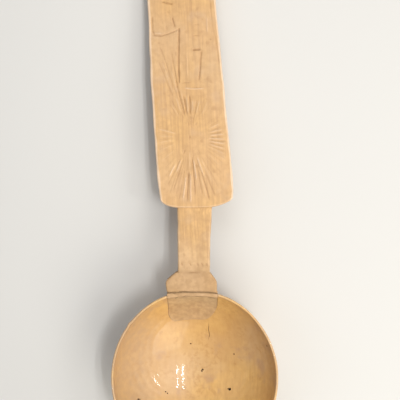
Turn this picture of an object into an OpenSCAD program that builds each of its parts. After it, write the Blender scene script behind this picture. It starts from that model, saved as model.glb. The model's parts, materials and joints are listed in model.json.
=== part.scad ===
// Carved wooden ladle: an oval bowl with a let-in handle, lying at rest on a table.
// Lengths in millimetres. +Y runs along the handle, +Z is up, and the origin is the
// centre of the small worn flat that the bowl rests on.

/* [Bowl] */
// Half width of the bowl across the rim
bowl_half_w = 52.7; // [46:0.1:60]
// Half length of the bowl along the handle
bowl_half_l = 55.1; // [48:0.1:62]
// Depth of the bowl outside, from the rim down
bowl_depth = 43; // [38:0.5:50]
// Thickness of the lip at the rim
lip_t = 1.5; // [1.3:0.1:3]
// Thickness of the bowl's bottom
floor_t = 5; // [4:0.5:7]
// Width of the worn flat underneath
rest_d = 24; // [16:1:28]

/* [Joint] */
// Width of the handle's foot where it is let into the bowl's wall
foot_w = 31.8; // [26:0.1:33]
// Distance of the foot's middle to the left of the bowl's middle
foot_off = 1.4; // [0:0.1:3]
// How far down the wall the foot reaches
foot_depth = 29.3; // [24:0.1:32]
// Rounding of the foot's left lower corner
foot_r_left = 5; // [3:0.5:8]
// Rounding of the foot's right lower corner
foot_r_right = 10; // [6:0.5:12]
// Thickness of the glue film round the foot
seam_t = 0.3; // [0.2:0.05:0.5]
// How far the foot's outer cheek stands off the bowl at the rim
cheek_t = 13; // [10:0.5:16]
// How far the cheek stands off the bowl at its lower end
cheek_tip_t = 2; // [1.5:0.5:4]

/* [Collar] */
// Width of the collar behind the rim
collar_w = 33; // [32:0.1:36]
// Distance of the collar's middle to the left of the bowl's middle
collar_off = 2.5; // [0:0.1:4]
// Height of the collar's top above the rim
collar_rise = 1; // [0.5:0.1:2]
// Distance from the bowl's middle to the far end of the collar's shoulders
collar_end = 66.8; // [65:0.1:70]
// Length of the sloped left shoulder
shoulder_left = 6.4; // [4:0.1:8]
// Length of the sloped right shoulder
shoulder_right = 4.6; // [3:0.1:8]
// Width and depth of the groove between the rim and the collar
groove_w = 1.2; // [0.8:0.1:2]

/* [Neck] */
// Width of the neck
neck_w = 21.5; // [18:0.1:26]
// Distance of the neck's middle to the left of the bowl's middle
neck_off = 0.7; // [0:0.1:3]
// Height of the neck's top relative to the rim
neck_top = -0.4; // [-2:0.1:1]
// Depth of the neck, front to back
neck_t = 10.5; // [8:0.5:14]

/* [Panel] */
// Distance from the bowl's middle to the panel's lower end
panel_start = 107.5; // [100:0.5:115]
// Distance from the bowl's middle to the handle's tip
panel_end = 270; // [240:1:290]
// Width of the panel near its lower end
panel_w_low = 46.4; // [40:0.1:52]
// Width of the panel at the tip
panel_w_tip = 41; // [34:0.1:48]
// Sideways place of the panel's middle at its lower end
panel_x_low = 0.8; // [-3:0.1:3]
// Sideways place of the panel's middle at the tip
panel_x_tip = -10.4; // [-14:0.1:0]
// Height of the panel's face above the rim
panel_top = 1.6; // [0.5:0.1:3]
// Thickness of the panel
panel_t = 9.4; // [8:0.1:12]
// Rounding of the panel's corners
panel_r = 4; // [2:0.5:8]
// How far each end of the panel bows out at its middle
panel_bow = 1.8; // [0.5:0.1:3]

/* [Hidden] */
$fn = 144;
bowl_k = sqrt(1 - pow(rest_d / 2 / bowl_half_w, 2));  // share of the depth left above the flat
arc_steps = 10;
reach = 400;                                         // longer than anything it trims

// Depth of the bowl's underside below its middle when it leans by an angle t
function under(t) = sqrt(pow(bowl_half_l * sin(t), 2) + pow(bowl_depth * cos(t), 2));

// Lean at which the worn flat and the back of the tip lie on one plane
function lean(n, t) = n == 0 ? t
    : lean(n - 1, asin((bowl_k * under(t) + (panel_top - panel_t) * cos(t)) / panel_end));
tilt = lean(8, 6);
rest_h = bowl_k * under(tilt);
rest_y = -bowl_k * sin(tilt) * cos(tilt) * (pow(bowl_half_l, 2) - pow(bowl_depth, 2)) / under(tilt);

// Points of an arc about c with radius r, from angle a to angle b
function arc(c, r, a, b) = [for (i = [0:arc_steps]) let (t = a + (b - a) * i / arc_steps)
    [c[0] + r * cos(t), c[1] + r * sin(t)]];

// Lays the ladle down from the rim's level onto its flat and its tip
module laid_down() {
    translate([0, rest_y, rest_h]) rotate([-tilt, 0, 0]) children();
}

// Everything under the table's surface, before the ladle is laid down
module table() {
    rotate([tilt, 0, 0]) translate([-reach / 2, -reach / 2, -reach - rest_h]) cube(reach);
}

// The bowl's outside and inside as whole ovals about the middle of the rim, poles along Y
module outside_form(grow = 0) {
    scale([bowl_half_w + grow, bowl_half_l + grow, bowl_depth + grow])
        rotate([90, 0, 0]) sphere(r = 1);
}

module inside_form() {
    scale([bowl_half_w - lip_t, bowl_half_l - lip_t, bowl_depth - floor_t])
        rotate([90, 0, 0]) sphere(r = 1);
}

// The foot's inner face: flat from side to side, and curved only from the rim down
module foot_face_form() {
    k = sqrt(1 - pow((foot_w / 2 + foot_off) / (bowl_half_w - lip_t), 2));
    scale([1, (bowl_half_l - lip_t) * k, (bowl_depth - floor_t) * k])
        rotate([0, 90, 0]) cylinder(r = 1, h = 3 * foot_w, center = true);
}

// The foot's outline seen along the handle, as a bar through the wall
module foot_bar(grow = 0) {
    l = -foot_off - foot_w / 2 - grow;
    r = -foot_off + foot_w / 2 + grow;
    low = -foot_depth - grow;
    rl = foot_r_left + grow;
    rr = foot_r_right + grow;
    outline = concat(
        [[l, collar_rise + 4]],
        arc([l + rl, low + rl], rl, 180, 270),
        arc([r - rr, low + rr], rr, 270, 360),
        [[r, collar_rise + 4]]);
    translate([0, bowl_half_l + cheek_t / 2, 0]) rotate([90, 0, 0])
        linear_extrude(bowl_half_l) polygon(outline);
}

// The handle's outline from above: cheek, collar, neck and leaning panel
module plan_outline() {
    cl = -collar_off - collar_w / 2;
    cr = -collar_off + collar_w / 2;
    nl = -neck_off - neck_w / 2;
    nr = -neck_off + neck_w / 2;
    polygon([[cl, 0], [cr, 0], [cr, collar_end - shoulder_right], [nr, collar_end],
        [nr, panel_start + 2], [nl, panel_start + 2],
        [nl, collar_end], [cl, collar_end - shoulder_left]]);
    panel_outline();
}

// One end of the panel, from its right corner to its left one, with a bowed edge
function panel_end_points(x, w, y, s) = concat(
    arc([x + w / 2 - panel_r, y - s * (panel_r + panel_bow)], panel_r, 0, s * 65),
    [[x, y]],
    arc([x - w / 2 + panel_r, y - s * (panel_r + panel_bow)], panel_r, 180 - s * 65, 180));

module panel_outline() {
    low = panel_end_points(panel_x_low, panel_w_low, panel_start, -1);
    tip = panel_end_points(panel_x_tip, panel_w_tip, panel_end, 1);
    polygon(concat(tip, [for (i = [len(low) - 1:-1:0]) low[i]]));
}

// The handle's outline from the side: height against distance from the bowl's middle
module side_outline() {
    wall_out = bowl_half_l - lip_t / 2;
    back = panel_top - panel_t;
    neck_back = neck_top - neck_t;
    cheek = [for (i = [0:arc_steps]) let (u = i / arc_steps, t = 14 + 38 * u,
        g = cheek_t + (cheek_tip_t - cheek_t) * sqrt(u))
        [(bowl_half_l + g) * cos(t), -(bowl_depth + g) * sin(t)]];
    polygon(concat(
        [[0, 0], [wall_out, 0], [wall_out, -groove_w], [wall_out + groove_w, -groove_w],
         [wall_out + groove_w, collar_rise], [collar_end - 1, collar_rise],
         [collar_end, neck_top], [panel_start, neck_top], [panel_start, panel_top],
         [panel_end, panel_top], [panel_end, back], [panel_start + 6, back],
         [panel_start - 4, neck_back], [collar_end + 6, neck_back]],
        cheek));
}

// The handle sawn out of one billet by its side and plan outlines
module billet() {
    intersection() {
        translate([-reach / 2, 0, 0]) rotate([90, 0, 90]) linear_extrude(reach) side_outline();
        translate([0, 0, -reach / 2]) linear_extrude(reach) plan_outline();
    }
}

// Bowl with the notch that takes the foot, worn flat where it stands on the table
module bowl() {
    color([0.72, 0.47, 0.26]) laid_down() difference() {
        outside_form();
        inside_form();
        translate([-reach / 2, -reach / 2, 0]) cube(reach);
        foot_bar(seam_t);
        table();
    }
}

// Handle: the cheek bears on the bowl's outside and the foot fills the notch
module handle() {
    color([0.68, 0.46, 0.28]) laid_down() {
        difference() {
            billet();
            outside_form(seam_t);
        }
        difference() {
            intersection() {
                billet();
                foot_bar();
            }
            foot_face_form();
        }
    }
}

// Dark glue film down both sides of the foot and under it
module glue_seam() {
    color([0.22, 0.14, 0.09]) laid_down() difference() {
        intersection() {
            foot_bar(seam_t);
            outside_form();
            translate([-reach / 2, 0, -reach]) cube(reach);
        }
        foot_bar();
        inside_form();
    }
}

bowl();
handle();
glue_seam();
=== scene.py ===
import json
import math
import random
import bpy
import numpy as np
from mathutils import Matrix, Vector, noise
from mathutils.bvhtree import BVHTree
from mathutils.kdtree import KDTree


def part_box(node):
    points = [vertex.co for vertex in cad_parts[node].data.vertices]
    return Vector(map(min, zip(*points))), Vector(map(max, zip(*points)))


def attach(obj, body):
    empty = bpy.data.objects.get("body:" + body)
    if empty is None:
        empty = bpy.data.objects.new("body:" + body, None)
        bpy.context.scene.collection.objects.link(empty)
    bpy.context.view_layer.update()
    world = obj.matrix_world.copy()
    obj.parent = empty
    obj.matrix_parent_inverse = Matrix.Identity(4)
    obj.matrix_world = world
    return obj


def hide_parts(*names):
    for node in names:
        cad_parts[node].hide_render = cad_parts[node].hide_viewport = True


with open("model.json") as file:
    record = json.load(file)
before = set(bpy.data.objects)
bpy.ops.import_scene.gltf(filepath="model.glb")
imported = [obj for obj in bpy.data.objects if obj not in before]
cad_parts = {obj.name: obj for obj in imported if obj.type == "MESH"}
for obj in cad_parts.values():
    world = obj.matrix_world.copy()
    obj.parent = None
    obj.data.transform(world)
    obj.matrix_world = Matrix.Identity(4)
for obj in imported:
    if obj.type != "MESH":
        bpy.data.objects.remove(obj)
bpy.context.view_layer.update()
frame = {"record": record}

mm = 0.001
scene = bpy.context.scene

# Everything is shaped in the ladle's level frame: millimetres, the rim's middle at zero,
# +Y along the handle, +Z out of the bowl. finish puts the finished mesh where the frame has it.
bowlSizes = {
    "halfLength": 55.1, "depth": 43.0, "lip": 1.5, "lipHeight": 0.6, "floor": 5.0,
    "around": 320, "down": 62,
    "outsideFacet": 0.30, "facetSize": 9.0, "insideWave": 0.26,
    "scrape": 0.07, "scrapeGap": 4.3, "scrapeMiddle": (-2.0, 9.0), "scrapeFrom": 14.0,
    "markFade": 0.12, "rimReach": 0.2,
    "rimWander": 0.32, "burr": 0.7, "burrAt": 141.5,
}


def findLevel():
    axis = next(m["axis"] for m in frame["record"]["mounts"] if m["name"] == "panel_back")
    lean = math.atan2(-axis[1], -axis[2])
    low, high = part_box("bowl")
    halfLength, depth = bowlSizes["halfLength"] * mm, bowlSizes["depth"] * mm
    front = math.hypot(halfLength * math.cos(lean), depth * math.sin(lean))
    rimMiddle = Vector((0, low[1] + front, high[2] - halfLength * math.sin(lean)))
    return lean, rimMiddle, (high[0] - low[0]) / 2 / mm


lean, rimMiddle, bowlSizes["halfWidth"] = findLevel()
levelToWorld = Matrix.Translation(rimMiddle) @ Matrix.Rotation(-lean, 4, "X") @ Matrix.Scale(mm, 4)
print("ladle leans", round(math.degrees(lean), 2), "degrees, rim middle at", tuple(rimMiddle))

cameraSettings = {"overX": 3.4, "overY": 112.1, "height": 450.0, "seenWidth": 251.5}


def addCamera():
    s = cameraSettings
    data = bpy.data.cameras.new("camera")
    data.sensor_width = 36.0
    data.lens = data.sensor_width * s["height"] / s["seenWidth"]
    data.clip_start, data.clip_end = 0.01, 20.0
    camera = bpy.data.objects.new("camera", data)
    scene.collection.objects.link(camera)
    camera.matrix_world = (Matrix.Translation(levelToWorld @ Vector((s["overX"], s["overY"], s["height"])))
                           @ Matrix.Rotation(-lean, 4, "X"))
    scene.camera = camera


addCamera()


# Mesh helpers
def makeObject(name, verts, faces):
    mesh = bpy.data.meshes.new(name)
    mesh.from_pydata([tuple(v) for v in verts], [], [tuple(f) for f in faces])
    mesh.update()
    obj = bpy.data.objects.new(name, mesh)
    scene.collection.objects.link(obj)
    return obj


def readTriples(items, key):
    out = np.empty(len(items) * 3)
    items.foreach_get(key, out)
    return out.reshape(-1, 3)


def vertexArray(mesh):
    return readTriples(mesh.vertices, "co")


def applyModifiers(obj):
    graph = bpy.context.evaluated_depsgraph_get()
    mesh = bpy.data.meshes.new_from_object(obj.evaluated_get(graph))
    old = obj.data
    obj.modifiers.clear()
    obj.data = mesh
    bpy.data.meshes.remove(old)


def combine(obj, tool, operation):
    cutter = obj.modifiers.new("combine", "BOOLEAN")
    cutter.operation, cutter.object, cutter.solver = operation, tool, "MANIFOLD"
    cutter.material_mode = "TRANSFER"
    applyModifiers(obj)
    bpy.data.objects.remove(tool)
    return obj


def softBox(name, size, counts, radius):  # a fine-gridded block with rounded edges
    half = [s / 2 for s in size]
    grid = [edgeStations(h, radius, n) for h, n in zip(half, counts)]
    return boxFromStations(name, grid, half, radius)


def edgeStations(half, radius, count):  # close together where the edge is rounded
    bend = [radius * math.tan(math.radians(a)) for a in (15, 30, 45)]
    inner = half - radius
    middle = np.linspace(-inner, inner, count)
    return np.concatenate(([-inner - b for b in reversed(bend)], middle, [inner + b for b in bend]))


def boxFromStations(name, grid, half, radius):
    nx, ny, nz = (len(g) for g in grid)
    ids = -np.ones((nx, ny, nz), dtype=int)
    skin = np.zeros((nx, ny, nz), dtype=bool)
    skin[0], skin[-1], skin[:, 0], skin[:, -1], skin[:, :, 0], skin[:, :, -1] = (True,) * 6
    ids[skin] = np.arange(skin.sum())
    spots = np.argwhere(skin)
    points = np.stack([np.asarray(grid[k])[spots[:, k]] for k in range(3)], axis=1)
    core = np.array(half) - radius
    held = np.clip(points, -core, core)
    out = points - held
    length = np.linalg.norm(out, axis=1, keepdims=True)
    points = held + radius * out / np.maximum(length, 1e-9)
    quads = []
    for axis in range(3):
        for end in (0, -1):
            sheet = np.take(ids, end, axis=axis)
            a, b, c, d = sheet[:-1, :-1], sheet[1:, :-1], sheet[1:, 1:], sheet[:-1, 1:]
            ring = np.stack([a, b, c, d], axis=-1).reshape(-1, 4)
            outward = (end == -1) != (axis == 1)
            quads.append(ring if outward else ring[:, ::-1])
    return makeObject(name, points, np.concatenate(quads))


def warp(obj, rule):
    points = rule(vertexArray(obj.data))
    obj.data.vertices.foreach_set("co", points.reshape(-1))
    obj.data.update()


def wander(points, size, seed, strength=1.0):  # slow noise, one value for each point
    shift = Vector((seed * 17.3, seed * 5.1, seed * 9.7))
    return np.array([noise.noise(Vector(p) / size + shift) for p in points]) * strength


def facets(points, size, stretch, seed):  # shallow scallops left by a blade
    out = np.empty(len(points))
    shift = Vector((seed * 3.7, seed * 11.9, seed * 7.1))
    for i, p in enumerate(points):
        spot = Vector((p[0] / size, p[1] / (size * stretch), p[2] / size)) + shift
        out[i] = noise.voronoi(spot)[0][0]
    return out


def follow(pairs, places):  # reads a line, given as pairs, at each place
    return np.interp(places, *zip(*pairs))


def storeValues(obj, name, values):
    attribute = obj.data.attributes.new(name, "FLOAT", "POINT")
    attribute.data.foreach_set("value", np.ascontiguousarray(values, dtype=float))


def seenFrom(obj):  # the camera's place, and a tree that tells where its rays meet the object
    tree = BVHTree.FromPolygons([v.co for v in obj.data.vertices], [p.vertices for p in obj.data.polygons])
    return tree, Vector([cameraSettings[key] for key in ("overX", "overY", "height")])


# Node helpers: inputs are given by name or number, as constants or as other nodes' outputs
def addNodes(tree):
    def feed(node, values):
        for slot, value in values.items():
            if isinstance(value, bpy.types.NodeSocket):
                tree.links.new(value, node.inputs[slot])
            else:
                node.inputs[slot].default_value = value

    def add(kind, values=None, **settings):
        node = tree.nodes.new(kind)
        for key, value in settings.items():
            setattr(node, key, value)
        feed(node, values or {})
        return node

    def maths(operation, a, b=0.0, clamp=False):
        return add("ShaderNodeMath", {0: a, 1: b}, operation=operation, use_clamp=clamp).outputs[0]

    def mix(share, a, b):
        a, b = ((*c, 1.0) if isinstance(c, tuple) else c for c in (a, b))
        return add("ShaderNodeMix", {0: share, 6: a, 7: b}, data_type="RGBA").outputs[2]

    def ramp(value, low, high, a=0.0, b=1.0):
        return add("ShaderNodeMapRange", {0: value, 1: low, 2: high, 3: a, 4: b}).outputs[0]

    return feed, add, maths, mix, ramp


def groupShell(name, inputs, outputs, kind="ShaderNodeTree"):
    tree = bpy.data.node_groups.new(name, kind)
    for way, sockets in (("INPUT", inputs), ("OUTPUT", outputs)):
        for label, socket in sockets.items():
            tree.interface.new_socket(name=label, in_out=way, socket_type="NodeSocket" + socket)
    given = tree.nodes.new("NodeGroupInput").outputs
    return tree, given, tree.nodes.new("NodeGroupOutput")


def stored(add, name, kind="FLOAT"):  # reads an attribute inside a geometry tree
    return add("GeometryNodeInputNamedAttribute", {"Name": name}, data_type=kind).outputs["Attribute"]


# The bowl's wall as one closed shell, before the notch is cut
def bowlShell(name, outGrow=0.0, inGrow=0.0, lipDrop=0.0, solid=False, carved=True):
    s = bowlSizes
    around, down = s["around"], s["down"]
    lip, rise = s["lip"], s["lipHeight"]
    turn = np.linspace(0, 2 * math.pi, around, endpoint=False)
    cosTurn, sinTurn = np.cos(turn), np.sin(turn)
    rings = []
    kinds = []

    def addRing(a, b, z, kind):
        rings.append(np.stack([a * cosTurn, b * sinTurn, np.full(around, z)], axis=1))
        kinds.append(kind)

    outA, outB, outC = s["halfWidth"] + outGrow, s["halfLength"] + outGrow, s["depth"] + outGrow
    inA, inB, inC = (s["halfWidth"] - lip + inGrow, s["halfLength"] - lip + inGrow,
                     s["depth"] - s["floor"] + inGrow)
    last = math.pi / 2 - math.asin(rise / outC)
    for t in np.linspace(0, last, down + 1)[1:]:
        addRing(outA * math.sin(t), outB * math.sin(t), -outC * math.cos(t), 0)
    if solid:
        addRing(outA, outB, 9.0, 1)
        centre = 9.0
    else:
        half = (outA - inA) / 2
        for t in np.linspace(0, math.pi, 9)[1:-1]:
            inset = half * (1 - math.cos(t))
            addRing(outA - inset, outB - inset, -rise + rise * math.sin(t) - lipDrop, 1)
        last = math.pi / 2 - math.asin(rise / inC)
        for t in np.linspace(last, 0, down + 1)[:-1]:
            addRing(inA * math.sin(t), inB * math.sin(t), -inC * math.cos(t), 2)
        centre = -inC
    points = np.concatenate(rings + [np.array([[0, 0, -outC], [0, 0, centre]])])
    kind = np.concatenate([np.repeat(kinds, around), [0, kinds[-1]]])
    faces = []
    n = len(rings)
    for r in range(n - 1):
        for k in range(around):
            j = (k + 1) % around
            faces.append((r * around + k, r * around + j, (r + 1) * around + j, (r + 1) * around + k))
    bottom, middle = n * around, n * around + 1
    for k in range(around):
        j = (k + 1) % around
        faces.append((j, k, bottom))
        faces.append(((n - 1) * around + k, (n - 1) * around + j, middle))  # closes the far end
    if carved:
        points = carveBowl(points, kind)
    return makeObject(name, points, faces)


def carveBowl(points, kind):
    s = bowlSizes
    size = np.array([s["halfWidth"], s["halfLength"], s["depth"]])
    away = points / size ** 2
    away /= np.linalg.norm(away, axis=1, keepdims=True)
    level = np.clip(-points[:, 2] / s["depth"], 0, 1)
    outside, inside = kind == 0, kind == 2
    fade = np.clip(level / s["markFade"], 0, 1)  # the tool marks die out at the lip
    shift = np.zeros(len(points))
    scallop = facets(points[outside], s["facetSize"], 1.5, 2)
    shift[outside] += (0.32 - scallop) * s["outsideFacet"] * fade[outside] * 1.6
    shift[outside] += wander(points[outside], 22, 5, 0.35) * fade[outside]
    shift[inside] += wander(points[inside], 17, 8, s["insideWave"]) * fade[inside]
    far = np.hypot(*(points[inside, :2] - s["scrapeMiddle"]).T)
    far += wander(points[inside], 14, 3, 1.6)
    firm = np.clip(0.5 + wander(points[inside], 24, 9, 1.4), 0, 1) * fade[inside]
    firm *= np.clip(far / s["scrapeFrom"] - 1.0, 0.06, 1)
    shift[inside] += s["scrape"] * np.sin(far * 2 * math.pi / s["scrapeGap"]) * firm
    points = points + away * shift[:, None]
    ringward = points.copy()
    ringward[:, 2] = 0
    near = np.clip(1 - level / s["rimReach"], 0, 1)
    drift = wander(ringward, 19, 4, s["rimWander"]) * near
    turn = np.degrees(np.arctan2(points[:, 1] / s["halfLength"], points[:, 0] / s["halfWidth"]))
    drift += s["burr"] * np.exp(-((turn - s["burrAt"]) / 1.3) ** 2) * np.clip(1 - level / 0.06, 0, 1)
    points[:, :2] *= (1 + drift / 60)[:, None]
    points[:, 2] += wander(ringward, 15, 6, s["rimWander"]) * near
    return points


jointSizes = {
    "face": (72.5, 51.9, 37.3), "footLeft": -17.3, "footRight": 14.5, "footDepth": 29.3,
    "roundLeft": 5.0, "roundRight": 10.0, "barFrom": 12.0, "barTo": 60.0,
    "film": 0.3, "filmSunk": 0.3, "cheekAtRim": 13.0, "cheekAtTip": 2.0,
}


def footBar(name, grow=0.0, top=6.0):  # the foot's outline, as a bar along the handle
    s = jointSizes
    near, far = s["barFrom"], s["barTo"]
    left, right = s["footLeft"] - grow, s["footRight"] + grow
    low = -s["footDepth"] - grow
    outline = [(left, top)]
    for side, inward, bend, start in ((left, 1, s["roundLeft"], 180), (right, -1, s["roundRight"], 270)):
        bend += grow
        for a in np.radians(np.linspace(start, start + 90, 14)):
            outline.append((side + inward * bend + bend * math.cos(a), low + bend + bend * math.sin(a)))
    outline.append((right, top))
    count = len(outline)
    verts = [(x, near, z) for x, z in outline] + [(x, far, z) for x, z in outline]
    faces = [tuple(range(count)), tuple(reversed(range(count, 2 * count)))]
    for k in range(count):
        j = (k + 1) % count
        faces.append((j, k, count + k, count + j))
    return makeObject(name, verts, faces)


# Borer holes: short tapered pits set on listed and scattered places of the hollow and the outside
holeSettings = {
    "width": 1.35, "length": 4.0, "sides": 12, "tilt": 0.5, "seed": 12,
    "topShare": 0.5, "bottomShare": 0.36, "sunkShare": 0.62,
    # place across and along, and size
    "seenFromAbove": [(-2.4, 21.8, 0.75), (5.0, 5.4, 1.15), (4.6, 4.7, 1.05), (22.1, -6.9, 1.4),
                      (21.2, -6.6, 0.9), (24.8, 15.2, 0.8), (-35.4, -13.3, 1.1), (-34.4, -13.2, 0.8),
                      (-18.2, -8.4, 0.8), (-17.0, -9.4, 0.7), (13.2, -24.0, 0.9), (-8.0, -31.0, 0.75)],
    "outsideCount": 9,
}


def holeSpots(shell):
    s = holeSettings
    tree, eye = seenFrom(shell)
    spots = []
    for x, y, size in s["seenFromAbove"]:
        hit, normal, _, _ = tree.ray_cast(eye, Vector((x, y, 0)) - eye)
        spots.append((hit, normal, size))
    draw = random.Random(s["seed"])
    for _ in range(s["outsideCount"]):
        way = Vector((draw.gauss(0, 1), draw.gauss(0, 1), -abs(draw.gauss(0, 0.8)) - 0.1)).normalized()
        hit, normal, _, _ = tree.ray_cast(way * 150, -way)
        spots.append((hit, normal, draw.uniform(0.6, 1.0)))
    return spots


def pitTree(material):
    s = holeSettings
    inputs = {"Geometry": "Geometry", "Width": "Float", "Length": "Float", "Sides": "Int", "Tilt": "Float",
              "Seed": "Int"}
    tree, given, result = groupShell("borerPits", inputs, {"Geometry": "Geometry"}, "GeometryNodeTree")
    feed, add, maths = addNodes(tree)[:3]
    pit = add("GeometryNodeMeshCone", {
        "Vertices": given["Sides"], "Depth": given["Length"],
        "Radius Top": maths("MULTIPLY", given["Width"], s["topShare"]),
        "Radius Bottom": maths("MULTIPLY", given["Width"], s["bottomShare"])})
    down = add("ShaderNodeCombineXYZ", {"Z": maths("MULTIPLY", given["Length"], -s["sunkShare"])})
    sink = add("GeometryNodeTransform", {"Geometry": pit.outputs["Mesh"], "Translation": down.outputs[0]})
    sway = add("FunctionNodeRandomValue", data_type="FLOAT_VECTOR")
    feed(sway, {"Min": maths("MULTIPLY", given["Tilt"], -1.0), "Max": given["Tilt"], "Seed": given["Seed"]})
    spread = add("ShaderNodeVectorMath", {0: stored(add, "facing", "FLOAT_VECTOR"), 1: sway.outputs["Value"]})
    align = add("FunctionNodeAlignRotationToVector", {"Vector": spread.outputs[0]}, axis="Z")
    place = add("GeometryNodeInstanceOnPoints", {
        "Points": given["Geometry"], "Instance": sink.outputs["Geometry"],
        "Rotation": align.outputs["Rotation"], "Scale": stored(add, "share")})
    real = add("GeometryNodeRealizeInstances", {"Geometry": place.outputs["Instances"]})
    ends = add("GeometryNodeSetMaterial", {"Geometry": real.outputs["Geometry"], "Material": material})
    feed(result, {0: ends.outputs["Geometry"]})
    return tree


def runNodes(obj, tree, values):  # sets the named inputs by their identifiers, then makes a plain mesh
    change = obj.modifiers.new("nodes", "NODES")
    change.node_group = tree
    for item in tree.interface.items_tree:
        if item.in_out == "INPUT" and item.name in values:
            change[item.identifier] = values[item.name]
    applyModifiers(obj)


def pitCutters(spots, material):
    guide = makeObject("pitCutters", [hit for hit, _, _ in spots], [])
    facing = guide.data.attributes.new("facing", "FLOAT_VECTOR", "POINT")
    facing.data.foreach_set("vector", [c for _, normal, _ in spots for c in normal])
    storeValues(guide, "share", [size for _, _, size in spots])
    values = {key.title(): holeSettings[key] for key in ("width", "length", "sides", "tilt", "seed")}
    runNodes(guide, pitTree(material), values)
    return guide


# Hairline splits: thin wedges laid along a path that is dropped on the surface from above
crackSettings = {
    "bowlPaths": [[(9.0, 35.4), (8.7, 31.0), (9.4, 27.4), (8.6, 24.0)]],
    "handlePaths": [[(-7.4, 51.4), (-5.4, 51.8), (-2.2, 51.6)], [(-0.4, 51.7), (2.0, 51.5), (4.4, 51.7)],
                    [(-12.6, 50.3), (-10.4, 50.8)], [(8.6, 51.0), (13.2, 50.2)]],
    "handleAim": (0.0, -0.5, 0.86),
    "bowlWidth": 0.45, "handleWidth": 0.9, "start": 0.3, "depth": 0.7,
}


def crackCutter(name, base, paths, width, aim=None):
    s = crackSettings
    tree, eye = seenFrom(base)
    verts, faces = [], []
    for path in paths:
        path = np.array(path, dtype=float)
        t = np.linspace(0, len(path) - 1, 6 * len(path))
        flat = np.stack([np.interp(t, range(len(path)), path[:, k]) for k in (0, 1)], axis=1)
        hits = [tree.ray_cast(eye, Vector((x, y, 0)) - eye)[:2] for x, y in flat]
        hits = [(spot, Vector(aim) if aim else normal) for spot, normal in hits]
        first = len(verts)
        for k, (spot, normal) in enumerate(hits):
            along = (hits[min(k + 1, len(hits) - 1)][0] - hits[max(k - 1, 0)][0]).normalized()
            share = math.sin(math.pi * (k + 0.6) / (len(hits) + 0.2))  # widest at the middle
            side = normal.cross(along).normalized() * width / 2 * share
            over = spot + normal * s["start"]
            verts += [over + side, over - side, spot - normal * s["depth"]]
        for k in range(len(hits) - 1):
            a, b = first + 3 * k, first + 3 * k + 3
            faces += [(a + i, a + (i + 1) % 3, b + (i + 1) % 3, b + i) for i in range(3)]
        last = len(verts) - 3
        faces += [(first + 2, first + 1, first), (last, last + 1, last + 2)]
    return makeObject(name, verts, faces)


# Knife cuts: lines of close points that a node tree presses into a face as V grooves; a stroke
# with a weight below zero is a ridge left standing between two cuts
cutSettings = {"leastWidth": 0.2, "addedWidth": 0.3, "upward": 0.6, "gap": 0.3, "endShare": 0.2}


def cutTree():
    s = cutSettings
    inputs = {"Geometry": "Geometry", "Lines": "Object", "Cut Width": "Float", "Cut Depth": "Float",
              "Face Height": "Float", "Material": "Material"}
    tree, given, result = groupShell("knifeCuts", inputs, {"Geometry": "Geometry"}, "GeometryNodeTree")
    feed, add, maths = addNodes(tree)[:3]
    lines = add("GeometryNodeObjectInfo", {"Object": given["Lines"]}).outputs["Geometry"]
    spot = add("ShaderNodeSeparateXYZ", {0: add("GeometryNodeInputPosition").outputs[0]}).outputs
    flat = add("ShaderNodeCombineXYZ", {"X": spot["X"], "Y": spot["Y"], "Z": given["Face Height"]}).outputs[0]
    near = add("GeometryNodeProximity", {"Geometry": lines, "Sample Position": flat}, target_element="POINTS")
    which = add("GeometryNodeSampleNearest", {"Geometry": lines, "Sample Position": flat}, domain="POINT")
    read = add("GeometryNodeSampleIndex", data_type="FLOAT", domain="POINT")
    feed(read, {"Geometry": lines, "Value": stored(add, "share"), "Index": which.outputs["Index"]})
    firm = maths("MULTIPLY", maths("ABSOLUTE", read.outputs["Value"]), s["addedWidth"])
    wide = maths("MULTIPLY", given["Cut Width"], maths("ADD", firm, s["leastWidth"]))
    slope = maths("SUBTRACT", 1.0, maths("DIVIDE", near.outputs["Distance"], wide), True)
    face = add("ShaderNodeSeparateXYZ", {0: add("GeometryNodeInputNormal").outputs[0]}).outputs
    deep = maths("MULTIPLY", slope, read.outputs["Value"])
    deep = maths("MULTIPLY", deep, maths("GREATER_THAN", face["Z"], s["upward"]))
    keep = add("GeometryNodeStoreNamedAttribute", data_type="FLOAT", domain="POINT")
    feed(keep, {"Geometry": given["Geometry"], "Name": "cut", "Value": deep})
    drop = maths("MULTIPLY", maths("MULTIPLY", stored(add, "cut"), given["Cut Depth"]), -1.0)
    press = add("GeometryNodeSetPosition", {
        "Geometry": keep.outputs["Geometry"], "Offset": add("ShaderNodeCombineXYZ", {"Z": drop}).outputs[0]})
    real = add("GeometryNodeRealizeInstances", {"Geometry": press.outputs["Geometry"]})
    ends = add("GeometryNodeSetMaterial", {"Geometry": real.outputs["Geometry"],
                                           "Material": given["Material"]})
    feed(result, {0: ends.outputs["Geometry"]})
    return tree


def lineObject(name, strokes, height):  # each stroke is points, a weight and the length of its fading ends
    s = cutSettings
    spots, weights = [], []
    for points, weight, fade in strokes:
        points = np.array(points, dtype=float)
        steps = np.hypot(*np.diff(points, axis=0).T)
        along = np.concatenate(([0], np.cumsum(steps)))
        count = max(2, int(along[-1] / s["gap"]))
        for t in np.linspace(0, along[-1], count):
            spots.append((np.interp(t, along, points[:, 0]), np.interp(t, along, points[:, 1]), height))
            end = min(t, along[-1] - t)
            weights.append(weight * min(1, s["endShare"] + end / fade))
    obj = makeObject(name, spots, [])
    storeValues(obj, "share", weights)
    return obj


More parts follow.
